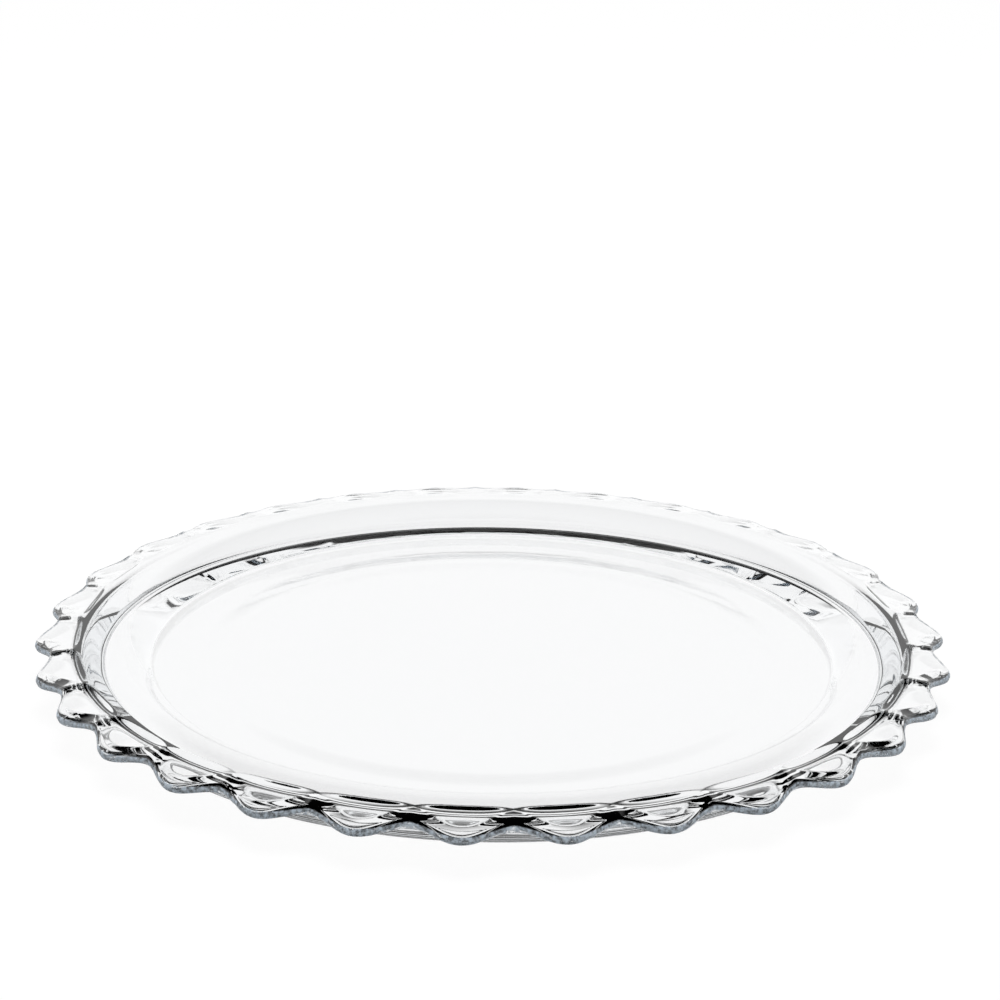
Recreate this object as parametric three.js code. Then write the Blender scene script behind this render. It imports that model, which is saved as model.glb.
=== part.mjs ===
// Scalloped pastry plate: one pressing of clear glass.
// A flat well, a short curved wall, and a rim of scooped petals that overhangs a low flat base.
// Millimetres, +Z up, origin on the table under the middle of the base.
import * as THREE from 'three';
import { ParametricGeometry } from 'three/addons/geometries/ParametricGeometry.js';
import { mergeVertices } from 'three/addons/utils/BufferGeometryUtils.js';

// Well and wall
const WELL_RADIUS = 120; // corner where the floor meets the wall
const WELL_FILLET = 2; // radius that rounds that corner
const FLOOR_HEIGHT = 7.8; // top of the well's floor above the table
const WALL_RUN = 21; // from that corner out to the level crest
const WALL_RISE = 8.1; // from the floor up to the crest

// Rim outline
const LOBE_COUNT = 30;
const LOBE_TURN = 2.83; // degrees from +Y to the first valley between two lobes
const RIM_WIDTH = 13; // from the crest out to the valleys
const RIDGE_RISE = 0.3; // climb of the ridges from the crest to the valleys
const LOBE_BULGE = 4.4; // how far a lobe stands out past the valleys
const LOBE_DROOP = 3; // how far the middle of a lobe hangs below the valleys

// Scoops pressed into the top of the rim, one to a lobe
const SCOOP_DEPTH = 1.5; // deepest point below the ridges
const SCOOP_LENGTH = 9; // from a scoop's inner end out to the valleys
const SCOOP_RAMP = 3; // radial length of its rounded inner end
const SCOOP_SIDE_POWER = 4; // 2 is a plain parabola across, larger is flatter with steeper sides
const SCOOP_CREASE = 0.15; // softness of the line round a scoop
const SCOOP_FADE = 10; // length over which a scoop runs out into the drooping edge

// Outer edge
const EDGE_ROUND = 2.4; // height of the fire-polished upper corner
const VALLEY_REACH = 1.4; // width of that corner at a valley
const LOBE_REACH = 2.6; // and at the middle of a lobe
const VALLEY_BAND = 1.3; // height of the flat band under that corner at a valley
const LOBE_BAND = 0.3; // and at the middle of a lobe
const EDGE_DRAFT = 0.3; // how far the band leans in towards the lower corner
const EDGE_LOWER = 0.7; // radius of the lower corner

// Base
const OVERHANG = 16; // from the base out to the valleys
const FOOT_HEIGHT = 2; // upright part of the base's outer wall
const FOOT_ROUND = 0.8;
const UNDERSIDE_SWEEP = 0.75; // 1 is a straight slope up to the rim, smaller bows it towards the base
const STANDING_WIDTH = 30; // ring that stands on the table
const RECESS_DEPTH = 0.3; // shallow hollow that keeps the middle off the table
const RECESS_SLOPE = 12; // radial length over which the hollow rises

// Facets
const STEPS_PER_LOBE = 8;
const WALL_STEPS = 4;
const FACE_STEPS = 8;
const EDGE_STEPS = 3;
const UNDERSIDE_STEPS = 3;

const UP = Math.PI / 2;
const CREST_RADIUS = WELL_RADIUS + WALL_RUN;
const CREST_HEIGHT = FLOOR_HEIGHT + WALL_RISE;
const VALLEY_RADIUS = CREST_RADIUS + RIM_WIDTH;
const BASE_RADIUS = VALLEY_RADIUS - OVERHANG;

const point = (radius, height) => new THREE.Vector2(radius, height);
const mix = THREE.MathUtils.lerp;

// Points of an arc about a centre, angles in radians from the outward direction
function arc(centre, width, height, from, to, steps) {
  return Array.from({ length: steps + 1 }, (_, i) => {
    const angle = mix(from, to, i / steps);
    return point(centre.x + width * Math.cos(angle), centre.y + height * Math.sin(angle));
  });
}

// Well floor, rounded corner and curved wall up to the level crest, from the axis outwards
function wellSection() {
  const round = (WALL_RUN ** 2 + WALL_RISE ** 2) / (2 * WALL_RISE);
  const slope = Math.asin(WALL_RUN / round);
  const corner = point(WELL_RADIUS - WELL_FILLET * Math.tan(slope / 2), FLOOR_HEIGHT + WELL_FILLET);
  const crestCentre = point(CREST_RADIUS, CREST_HEIGHT - round);
  return [
    point(0, FLOOR_HEIGHT),
    ...arc(corner, WELL_FILLET, WELL_FILLET, -UP, slope - UP, 1),
    ...arc(crestCentre, round, round, UP + slope, UP, WALL_STEPS).slice(1),
  ];
}

// Share of a lobe's bulge at a place across it: 0 at the valleys (-1 and 1), 1 in the middle (0)
const bulgeShare = (across) => (1 + Math.cos(Math.PI * across)) / 2;

// Radius of the fold where the rim's upper face turns into the outer edge
const foldRadius = (across) => VALLEY_RADIUS + LOBE_BULGE * bulgeShare(across);

// Depth of a scoop: a bowl that is steep at its sides and inner end, with a soft line round it
function scoopDepth(radius, across) {
  const innerEnd = VALLEY_RADIUS - SCOOP_LENGTH;
  const inward = Math.max(innerEnd + SCOOP_RAMP - radius, 0) / SCOOP_RAMP;
  const bowl = SCOOP_DEPTH * (1 - inward ** 2 - Math.abs(across) ** SCOOP_SIDE_POWER);
  return SCOOP_CREASE * Math.log1p(Math.exp(bowl / SCOOP_CREASE));
}

// Height of the rim's upper face: level ridges, scoops between them and lobes that droop at the edge
function rimHeight(radius, across) {
  const fold = foldRadius(across);
  const climb = RIDGE_RISE * THREE.MathUtils.clamp((radius - CREST_RADIUS) / RIM_WIDTH, 0, 1);
  const edge = THREE.MathUtils.smoothstep(radius, fold - SCOOP_FADE, fold);
  const droop = mix(scoopDepth(radius, across), LOBE_DROOP * bulgeShare(across), edge);
  return CREST_HEIGHT + climb - droop;
}

// Rim from the crest over the scooped face and round the outer edge
function rimSection(across) {
  const share = bulgeShare(across);
  const fold = foldRadius(across);
  const face = Array.from({ length: FACE_STEPS }, (_, i) => {
    const radius = mix(CREST_RADIUS, fold, (i + 1) / FACE_STEPS);
    return point(radius, rimHeight(radius, across));
  });
  const reach = mix(VALLEY_REACH, LOBE_REACH, share);
  const upper = point(fold, rimHeight(fold, across) - EDGE_ROUND);
  const lower = point(fold + reach - EDGE_DRAFT - EDGE_LOWER, upper.y - mix(VALLEY_BAND, LOBE_BAND, share));
  return [
    ...face,
    ...arc(upper, reach, EDGE_ROUND, UP, 0, EDGE_STEPS).slice(1),
    ...arc(lower, EDGE_LOWER, EDGE_LOWER, 0, -UP, 1),
  ];
}

// Underside of the rim, swept down to the base
function undersideSection(from) {
  return Array.from({ length: UNDERSIDE_STEPS }, (_, i) => {
    const share = 1 - (i + 1) / UNDERSIDE_STEPS;
    const height = mix(FOOT_HEIGHT, from.y, share ** UNDERSIDE_SWEEP);
    return point(mix(BASE_RADIUS, from.x, share), height);
  });
}

// Rounded foot of the base, its standing face and the shallow hollow, back to the axis
function baseSection() {
  const recessRadius = BASE_RADIUS - STANDING_WIDTH;
  return [
    ...arc(point(BASE_RADIUS - FOOT_ROUND, FOOT_ROUND), FOOT_ROUND, FOOT_ROUND, 0, -UP, 1),
    point(recessRadius, 0),
    point(recessRadius - RECESS_SLOPE, RECESS_DEPTH),
    point(0, RECESS_DEPTH),
  ];
}

// Whole section at a place across a lobe, from the axis over the top and back underneath
function plateSection(across) {
  const rim = rimSection(across);
  const underside = undersideSection(rim[rim.length - 1]);
  return [...wellSection(), ...rim, ...underside, ...baseSection()];
}

// The section carried round the axis, changing from valley to lobe and back LOBE_COUNT times
function plateGeometry() {
  const columns = LOBE_COUNT * STEPS_PER_LOBE;
  const sections = Array.from({ length: STEPS_PER_LOBE }, (_, i) => plateSection((2 * i) / STEPS_PER_LOBE - 1));
  const rows = sections[0].length - 1;
  const firstValley = THREE.MathUtils.degToRad(90 + LOBE_TURN);
  const surface = (u, v, target) => {
    const column = Math.round(u * columns);
    const place = sections[column % STEPS_PER_LOBE][Math.round(v * rows)];
    const angle = firstValley - ((column % columns) / columns) * 2 * Math.PI;
    target.set(place.x * Math.cos(angle), place.x * Math.sin(angle), place.y);
  };
  const geometry = new ParametricGeometry(surface, columns, rows);
  geometry.deleteAttribute('normal');
  geometry.deleteAttribute('uv');
  const closed = mergeVertices(geometry);
  closed.computeVertexNormals();
  return closed;
}

const clearGlass = new THREE.MeshStandardMaterial({
  color: 0xf2f6f7,
  roughness: 0.03,
  metalness: 0,
  transparent: true,
  opacity: 0.35,
});

const plate = new THREE.Mesh(plateGeometry(), clearGlass);
plate.name = 'glass_plate';

const pastryPlate = new THREE.Group();
pastryPlate.name = 'pastry_plate';
pastryPlate.add(plate);

export default pastryPlate;
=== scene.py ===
"""Studio scene of the scalloped glass pastry plate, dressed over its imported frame. Metres, +Z up."""
import math

import bpy
import numpy as np
from mathutils import Matrix


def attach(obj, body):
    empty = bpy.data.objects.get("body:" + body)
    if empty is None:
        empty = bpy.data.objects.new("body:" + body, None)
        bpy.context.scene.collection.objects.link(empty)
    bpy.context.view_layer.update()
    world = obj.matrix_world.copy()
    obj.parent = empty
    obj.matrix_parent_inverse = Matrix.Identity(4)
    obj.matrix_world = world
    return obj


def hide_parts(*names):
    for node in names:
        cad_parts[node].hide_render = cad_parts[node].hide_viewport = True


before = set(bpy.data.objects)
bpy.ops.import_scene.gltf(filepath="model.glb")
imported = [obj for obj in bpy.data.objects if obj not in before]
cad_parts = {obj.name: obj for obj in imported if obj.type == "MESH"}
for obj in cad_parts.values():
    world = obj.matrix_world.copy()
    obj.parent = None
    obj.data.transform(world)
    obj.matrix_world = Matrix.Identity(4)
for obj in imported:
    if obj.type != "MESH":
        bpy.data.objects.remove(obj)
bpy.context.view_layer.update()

# The plate's own sizes are in millimetres, and its mesh is scaled to metres
MM = 0.001
UP = math.pi / 2

# Well and wall
WELL_RADIUS = 120.0  # corner where the floor meets the wall
WELL_FILLET = 2.0  # radius that rounds that corner
FLOOR_HEIGHT = 7.8  # top of the well's floor above the table
WALL_RUN = 21.0  # from that corner out to the level crest
WALL_RISE = 8.1  # from the floor up to the crest

# Rim outline
LOBE_COUNT = 30
LOBE_TURN = 2.83  # degrees from +Y to the first valley between two lobes
RIM_WIDTH = 13.0  # from the crest out to the valleys
RIDGE_RISE = 0.3  # climb of the ridges from the crest to the valleys
LOBE_BULGE = 4.4  # how far a lobe stands out past the valleys

# Scoops pressed into the top of the rim, one to a lobe
SCOOP_DEPTH = 1.2  # deepest point below the ridges
SCOOP_LENGTH = 9.0  # from a scoop's inner end out to the valleys
SCOOP_RAMP = 3.0  # radial length of its rounded inner end
SCOOP_SIDE_POWER = 3.0  # 2 is a plain parabola across, larger is flatter with steeper sides
SCOOP_CREASE = 0.1  # softness of the line round a scoop
SCOOP_TILT = 0.6  # how far the middle of a lobe slopes down on its way to the fold
TILT_LENGTH = 6.0  # from where that slope begins out to the valleys

# Roll of the rim's top just inside the fold
ROLL_DROP = 0.9  # how far the top has rolled down at the fold
ROLL_POWER = 1.2  # 1 is a straight bevel, larger is rounder
VALLEY_ROLL = 6.0  # radial length of the roll at a valley
LOBE_ROLL = 2.0  # and at the middle of a lobe

# Outer edge
EDGE_ROUND = 2.4  # height of the fire-polished upper corner
VALLEY_REACH = 1.4  # width of that corner at a valley
LOBE_REACH = 2.6  # and at the middle of a lobe
VALLEY_UNDER = 11.8  # underside of the edge above the table at a valley
LOBE_UNDER = 9.8  # and at the middle of a lobe
EDGE_DRAFT = 0.3  # how far the edge leans in towards the lower corner
EDGE_LOWER = 0.7  # radius of the lower corner

# Base
OVERHANG = 16.0  # from the base out to the valleys
FOOT_HEIGHT = 2.0  # upright part of the base's outer wall
FOOT_ROUND = 0.8
JOIN_RADIUS = 146.0  # corner between the steep wall above the foot and the flange under the rim
JOIN_HEIGHT = 11.0
JOIN_SOFT = 0.8  # softness of that corner
SOFT_GROWTH = 6.0  # the softness grows from the foot and is full at one sixth of the way out
SOFT_LEAST = 0.001  # softness at the foot, which can't be 0
STANDING_WIDTH = 30.0  # ring that stands on the table
RECESS_DEPTH = 0.3  # shallow hollow that keeps the middle off the table
RECESS_SLOPE = 12.0  # radial length over which the hollow rises

CREST_RADIUS = WELL_RADIUS + WALL_RUN
CREST_HEIGHT = FLOOR_HEIGHT + WALL_RISE
VALLEY_RADIUS = CREST_RADIUS + RIM_WIDTH
BASE_RADIUS = VALLEY_RADIUS - OVERHANG

# Fineness of the mesh
STEPS_PER_LOBE = 24
WALL_STEPS = 20
FACE_STEPS = 40
UNDERSIDE_STEPS = 24
ARC_STEPS = 8
RECESS_STEPS = 10
FLOOR_RINGS = (40.0, 80.0)  # radii of the rings that part the flat floor
RECESS_RINGS = (60.0, 30.0)  # and the hollow under it

# Glass
GLASS_TINT = (0.985, 0.99, 0.995, 1)
GLASS_INDEX = 1.52
ROUGHEST = 0.01
RIPPLE_SCALE = 700  # noise cells to a metre
RIPPLE_DETAIL = 2
RIPPLE_HEIGHT = 0.0004  # metres
FACE_WAVINESS = 0.002  # share of that height on most of the plate
EDGE_WAVINESS = 0.3  # and on the lower half of the edge
DEPTH_COLOUR = (0.0, 0.13, 0.23, 1)  # what thick glass tends to
DEPTH_DENSITY = 0.5

# Painted light on the lower half of the edge: a pale matt blue-grey speckle standing in for the light piped
# through the glass and out at its edge
EDGE_PAINTED_LIGHT_COLOUR = (0.78, 0.88, 0.98, 1)
PAINTED_LIGHT_LEAST, PAINTED_LIGHT_MOST = 0.25, 0.95  # how much of the glass it covers
PAINTED_SPECKLE_START, PAINTED_SPECKLE_END = 0.38, 0.62  # values of the ripple where the least and the most are reached

# Studio, in metres
WHITE = (1, 1, 1, 1)
TABLE_REACH = 2.0  # from the plate's axis to the table's sides
TABLE_GAP = 0.0002  # between the table and the base
TABLE_COLOUR = (0.1, 0.1, 0.1, 1)
TABLE_GLOW = 0.94
SKY_DARK = (0.01, 0.01, 0.01, 1)
SKY_WHITE_END, SKY_DARK_START = 0.5, 0.6  # heights of a direction, 0 level and 1 straight up
LAMP_SIZE = 1.2
LAMP_POWER = 14  # watts
LAMP_PLACE = (0, 0.3, 1.6)
BOUNCE_LIMIT = 10  # rays that are trapped in the rim for longer end as dark lines

# Camera of the photograph: lens and sensor in millimetres, place in metres, turns in degrees
SENSOR_WIDTH = 36
LENS = 108.934
CAMERA_PLACE = (0, -0.99307, 0.41977)
CAMERA_TILT = 70.328
CAMERA_YAW = -0.113
CAMERA_ROLL = 0.771


def mix(first, second, share):
    return first + (second - first) * share


def smooth(share):
    return share * share * (3 - 2 * share)


def arc(radius, height, wide, tall, start, end, steps):
    """Points of an arc about a centre, angles in radians from the outward direction."""
    angles = np.linspace(start, end, steps + 1)
    return [(radius + wide * np.cos(angle), height + tall * np.sin(angle)) for angle in angles]


def well_section():
    """Flat floor, rounded corner and curved wall up to the level crest, from the middle outwards."""
    round_radius = (WALL_RUN**2 + WALL_RISE**2) / (2 * WALL_RISE)
    round_height = CREST_HEIGHT - round_radius
    slope = math.asin(WALL_RUN / round_radius)
    corner = WELL_RADIUS - WELL_FILLET * math.tan(slope / 2)
    return [
        *((radius, FLOOR_HEIGHT) for radius in FLOOR_RINGS),
        *arc(corner, FLOOR_HEIGHT + WELL_FILLET, WELL_FILLET, WELL_FILLET, -UP, slope - UP, ARC_STEPS),
        *arc(CREST_RADIUS, round_height, round_radius, round_radius, UP + slope, UP, WALL_STEPS)[1:],
    ]


def bulge_share(across):
    """Share of a lobe's bulge at a place across it: 0 at the valleys (-1 and 1), 1 in the middle (0)."""
    return (1 + np.cos(np.pi * across)) / 2


def fold_radius(across):
    """Radius of the fold where the rim's upper face turns into the outer edge."""
    return VALLEY_RADIUS + LOBE_BULGE * bulge_share(across)


def scoop_depth(radius, across):
    """A bowl with steep sides and a steep inner end, with a soft line round it."""
    inward = np.maximum(VALLEY_RADIUS - SCOOP_LENGTH + SCOOP_RAMP - radius, 0) / SCOOP_RAMP
    bowl = SCOOP_DEPTH * (1 - inward**2 - np.abs(across) ** SCOOP_SIDE_POWER)
    return SCOOP_CREASE * np.logaddexp(0, bowl / SCOOP_CREASE)


def rim_height(radius, across):
    """Height of the rim's upper face: climbing ridges, scoops that tilt and a roll towards the fold."""
    share = bulge_share(across)
    fold = fold_radius(across)
    climb = RIDGE_RISE * np.clip((radius - CREST_RADIUS) / RIM_WIDTH, 0, 1)
    tilt_start = VALLEY_RADIUS - TILT_LENGTH
    tilt = SCOOP_TILT * share * np.clip((radius - tilt_start) / (fold - tilt_start), 0, 1)
    roll = mix(VALLEY_ROLL, LOBE_ROLL, share)
    drop = ROLL_DROP * np.clip((radius - fold) / roll + 1, 0, 1) ** ROLL_POWER
    return CREST_HEIGHT + climb - scoop_depth(radius, across) - tilt - drop


def rim_section(across):
    """Rim from the crest over the scooped face and round the outer edge."""
    share = bulge_share(across)
    fold = fold_radius(across)
    face = [mix(CREST_RADIUS, fold, (i + 1) / FACE_STEPS) for i in range(FACE_STEPS)]
    reach = mix(VALLEY_REACH, LOBE_REACH, share)
    upper = rim_height(fold, across) - EDGE_ROUND
    lower = mix(VALLEY_UNDER, LOBE_UNDER, share) + EDGE_LOWER
    return [
        *((radius, rim_height(radius, across)) for radius in face),
        *arc(fold, upper, reach, EDGE_ROUND, UP, 0, ARC_STEPS)[1:],
        *arc(fold + reach - EDGE_DRAFT - EDGE_LOWER, lower, EDGE_LOWER, EDGE_LOWER, 0, -UP, ARC_STEPS),
    ]


def underside_section(edge_radius, edge_height):
    """An even flange under the rim and a steep wall down to the foot, with a soft corner between them."""
    climb = (JOIN_HEIGHT - FOOT_HEIGHT) / (JOIN_RADIUS - BASE_RADIUS)
    points = []
    for i in range(UNDERSIDE_STEPS):
        share = 1 - (i + 1) / UNDERSIDE_STEPS
        radius = mix(BASE_RADIUS, edge_radius, share)
        wall = FOOT_HEIGHT + climb * (radius - BASE_RADIUS)
        flange = mix(JOIN_HEIGHT, edge_height, (radius - JOIN_RADIUS) / (edge_radius - JOIN_RADIUS))
        soft = JOIN_SOFT * min(SOFT_GROWTH * share, 1) + SOFT_LEAST
        height = -soft * np.logaddexp(-wall / soft, -flange / soft)
        points.append((radius, np.maximum(height, FOOT_HEIGHT)))
    return points


def base_section():
    """Rounded foot of the base, its standing face and the shallow hollow, back towards the middle."""
    recess = BASE_RADIUS - STANDING_WIDTH
    shares = np.linspace(0, 1, RECESS_STEPS + 1)
    return [
        *arc(BASE_RADIUS - FOOT_ROUND, FOOT_ROUND, FOOT_ROUND, FOOT_ROUND, 0, -UP, ARC_STEPS),
        *((recess - RECESS_SLOPE * share, RECESS_DEPTH * smooth(share)) for share in shares),
        *((radius, RECESS_DEPTH) for radius in RECESS_RINGS),
    ]


def closed_faces(index, floor_middle, base_middle):
    """Quads between neighbouring rows of points, and a fan round the middle point of each end."""
    upper, lower = index[:-1], index[1:]
    quads = np.stack([upper, lower, np.roll(lower, -1, 1), np.roll(upper, -1, 1)], -1)
    first, last = index[0], index[-1]
    fans = [(floor_middle, int(a), int(b)) for a, b in zip(first, np.roll(first, -1))]
    fans += [(base_middle, int(b), int(a)) for a, b in zip(last, np.roll(last, -1))]
    return quads.reshape(-1, 4).tolist() + fans


def plate_mesh():
    """The section carried round the axis, changing from valley to lobe and back LOBE_COUNT times."""
    columns = LOBE_COUNT * STEPS_PER_LOBE
    column = np.arange(columns)
    angle = math.radians(90 + LOBE_TURN) + column * 2 * math.pi / columns
    across = 2 * (column % STEPS_PER_LOBE) / STEPS_PER_LOBE - 1
    well, rim = well_section(), rim_section(across)
    section = [*well, *rim, *underside_section(*rim[-1]), *base_section()]
    radii = np.stack([np.broadcast_to(radius, across.shape) for radius, _ in section])
    heights = np.stack([np.broadcast_to(height, across.shape) for _, height in section])
    rows = np.stack([radii * np.cos(angle), radii * np.sin(angle), heights], -1).reshape(-1, 3)
    points = np.concatenate([rows, [[0, 0, FLOOR_HEIGHT], [0, 0, RECESS_DEPTH]]]) * MM
    index = np.arange(len(rows)).reshape(radii.shape)
    mesh = bpy.data.meshes.new("glass_plate_fine")
    mesh.from_pydata(points.tolist(), [], closed_faces(index, len(rows), len(rows) + 1))
    mesh.polygons.foreach_set("use_smooth", [True] * len(mesh.polygons))
    # The glass material reads where the lower half of the edge is, for its ripple and for the painted light
    # there
    edge_start = len(well) + FACE_STEPS + ARC_STEPS // 2
    edge_end = len(well) + len(rim)
    edge = np.zeros(len(points))
    edge[index[edge_start:edge_end].ravel()] = 1
    mesh.attributes.new("rim_edge", "FLOAT", "POINT").data.foreach_set("value", edge)
    mesh.update()
    return mesh


def remap(tree, value, low, high, start=0, end=1):
    """The value carried from the range start to end over to the range low to high."""
    node = tree.nodes.new("ShaderNodeMapRange")
    for name, number in (("From Min", start), ("From Max", end), ("To Min", low), ("To Max", high)):
        node.inputs[name].default_value = number
    tree.links.new(value, node.inputs["Value"])
    return node.outputs["Result"]


def combine(tree, operation, first, second):
    node = tree.nodes.new("ShaderNodeMath")
    node.operation = operation
    tree.links.new(first, node.inputs[0])
    tree.links.new(second, node.inputs[1])
    return node.outputs["Value"]


def glass_material():
    """Clear rippled glass that absorbs a little, with a speckled band of painted light on the lower half of
    its edge: a pale matt blue-grey standing in for the light piped through the glass.
    """
    material = bpy.data.materials.new("clear_glass")
    material.use_nodes = True
    tree = material.node_tree
    nodes, links = tree.nodes, tree.links
    output = nodes["Material Output"]
    clear = nodes["Principled BSDF"]
    clear.inputs["Base Color"].default_value = GLASS_TINT
    clear.inputs["Transmission Weight"].default_value = 1
    clear.inputs["IOR"].default_value = GLASS_INDEX

    place = nodes.new("ShaderNodeTexCoord")
    ripple = nodes.new("ShaderNodeTexNoise")
    ripple.inputs["Scale"].default_value = RIPPLE_SCALE
    ripple.inputs["Detail"].default_value = RIPPLE_DETAIL
    links.new(place.outputs["Object"], ripple.inputs["Vector"])
    edge = nodes.new("ShaderNodeAttribute")
    edge.attribute_name = "rim_edge"
    bump = nodes.new("ShaderNodeBump")
    bump.inputs["Distance"].default_value = RIPPLE_HEIGHT
    links.new(remap(tree, edge.outputs["Fac"], FACE_WAVINESS, EDGE_WAVINESS), bump.inputs["Strength"])
    links.new(ripple.outputs["Fac"], bump.inputs["Height"])
    links.new(bump.outputs["Normal"], clear.inputs["Normal"])
    links.new(remap(tree, ripple.outputs["Fac"], 0, ROUGHEST), clear.inputs["Roughness"])

    # Painted light: a pale matt blue-grey that stands in for the light piped out through the edge
    painted_edge_light = nodes.new("ShaderNodeBsdfDiffuse")
    painted_edge_light.inputs["Color"].default_value = EDGE_PAINTED_LIGHT_COLOUR
    painted_light_speckle = remap(tree, ripple.outputs["Fac"], PAINTED_LIGHT_LEAST, PAINTED_LIGHT_MOST, PAINTED_SPECKLE_START, PAINTED_SPECKLE_END)
    surface = nodes.new("ShaderNodeMixShader")
    links.new(combine(tree, "MULTIPLY", edge.outputs["Fac"], painted_light_speckle), surface.inputs["Fac"])
    links.new(clear.outputs["BSDF"], surface.inputs[1])
    links.new(painted_edge_light.outputs["BSDF"], surface.inputs[2])
    links.new(surface.outputs["Shader"], output.inputs["Surface"])

    depth = nodes.new("ShaderNodeVolumeAbsorption")
    depth.inputs["Color"].default_value = DEPTH_COLOUR
    depth.inputs["Density"].default_value = DEPTH_DENSITY
    links.new(depth.outputs["Volume"], output.inputs["Volume"])
    return material


def seen_directly(tree):
    """1 for camera, glossy and transmitted rays, 0 for the rays that carry light to a surface."""
    path = tree.nodes.new("ShaderNodeLightPath")
    seen = combine(tree, "MAXIMUM", path.outputs["Is Camera Ray"], path.outputs["Is Glossy Ray"])
    return combine(tree, "MAXIMUM", seen, path.outputs["Is Transmission Ray"])


def table_material():
    """Takes the plate's shadow as a dark matt table, and looks white where it is seen directly."""
    material = bpy.data.materials.new("white_table")
    material.use_nodes = True
    tree = material.node_tree
    nodes, links = tree.nodes, tree.links
    nodes.remove(nodes["Principled BSDF"])
    matt = nodes.new("ShaderNodeBsdfDiffuse")
    matt.inputs["Color"].default_value = TABLE_COLOUR
    glow = nodes.new("ShaderNodeEmission")
    glow.inputs["Color"].default_value = WHITE
    glow.inputs["Strength"].default_value = TABLE_GLOW
    bright = nodes.new("ShaderNodeAddShader")
    links.new(matt.outputs["BSDF"], bright.inputs[0])
    links.new(glow.outputs["Emission"], bright.inputs[1])
    choose = nodes.new("ShaderNodeMixShader")
    links.new(seen_directly(tree), choose.inputs["Fac"])
    links.new(matt.outputs["BSDF"], choose.inputs[1])
    links.new(bright.outputs["Shader"], choose.inputs[2])
    links.new(choose.outputs["Shader"], nodes["Material Output"].inputs["Surface"])
    return material


def studio_floor():
    mesh = bpy.data.meshes.new("studio_floor")
    corners = [(-1, -1), (1, -1), (1, 1), (-1, 1)]
    points = [(x * TABLE_REACH, y * TABLE_REACH, -TABLE_GAP) for x, y in corners]
    mesh.from_pydata(points, [], [(0, 1, 2, 3)])
    mesh.materials.append(table_material())
    floor = bpy.data.objects.new("studio_floor", mesh)
    bpy.context.scene.collection.objects.link(floor)


def studio_world():
    """White from the table up to a height, and dark overhead, where the glass takes its dark lines from."""
    world = bpy.data.worlds.new("studio")
    bpy.context.scene.world = world
    world.use_nodes = True
    nodes, links = world.node_tree.nodes, world.node_tree.links
    place = nodes.new("ShaderNodeTexCoord")
    split = nodes.new("ShaderNodeSeparateXYZ")
    links.new(place.outputs["Generated"], split.inputs["Vector"])
    ramp = nodes.new("ShaderNodeValToRGB")
    white, dark = ramp.color_ramp.elements
    white.position, white.color = SKY_WHITE_END, WHITE
    dark.position, dark.color = SKY_DARK_START, SKY_DARK
    links.new(split.outputs["Z"], ramp.inputs["Fac"])
    links.new(ramp.outputs["Color"], nodes["Background"].inputs["Color"])


def overhead_lamp():
    lamp = bpy.data.lights.new("overhead", "AREA")
    lamp.shape = "DISK"
    lamp.size = LAMP_SIZE
    lamp.energy = LAMP_POWER
    overhead = bpy.data.objects.new("overhead", lamp)
    overhead.location = LAMP_PLACE
    overhead.visible_glossy = False
    overhead.visible_transmission = False
    bpy.context.scene.collection.objects.link(overhead)


def camera():
    data = bpy.data.cameras.new("camera")
    data.sensor_width = SENSOR_WIDTH
    data.lens = LENS
    viewer = bpy.data.objects.new("camera", data)
    bpy.context.scene.collection.objects.link(viewer)
    viewer.matrix_world = (
        Matrix.Translation(CAMERA_PLACE)
        @ Matrix.Rotation(math.radians(CAMERA_TILT), 4, "X")
        @ Matrix.Rotation(math.radians(CAMERA_YAW), 4, "Y")
        @ Matrix.Rotation(math.radians(CAMERA_ROLL), 4, "Z")
    )
    bpy.context.scene.camera = viewer


plate = bpy.data.objects.new("plate_glass", plate_mesh())
bpy.context.scene.collection.objects.link(plate)
plate.data.materials.append(glass_material())
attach(plate, "root")
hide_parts("glass_plate")

studio_floor()
studio_world()
overhead_lamp()
camera()

scene = bpy.context.scene
scene.view_settings.view_transform = "Standard"
scene.cycles.max_bounces = BOUNCE_LIMIT
scene.cycles.transmission_bounces = BOUNCE_LIMIT
scene.cycles.glossy_bounces = BOUNCE_LIMIT
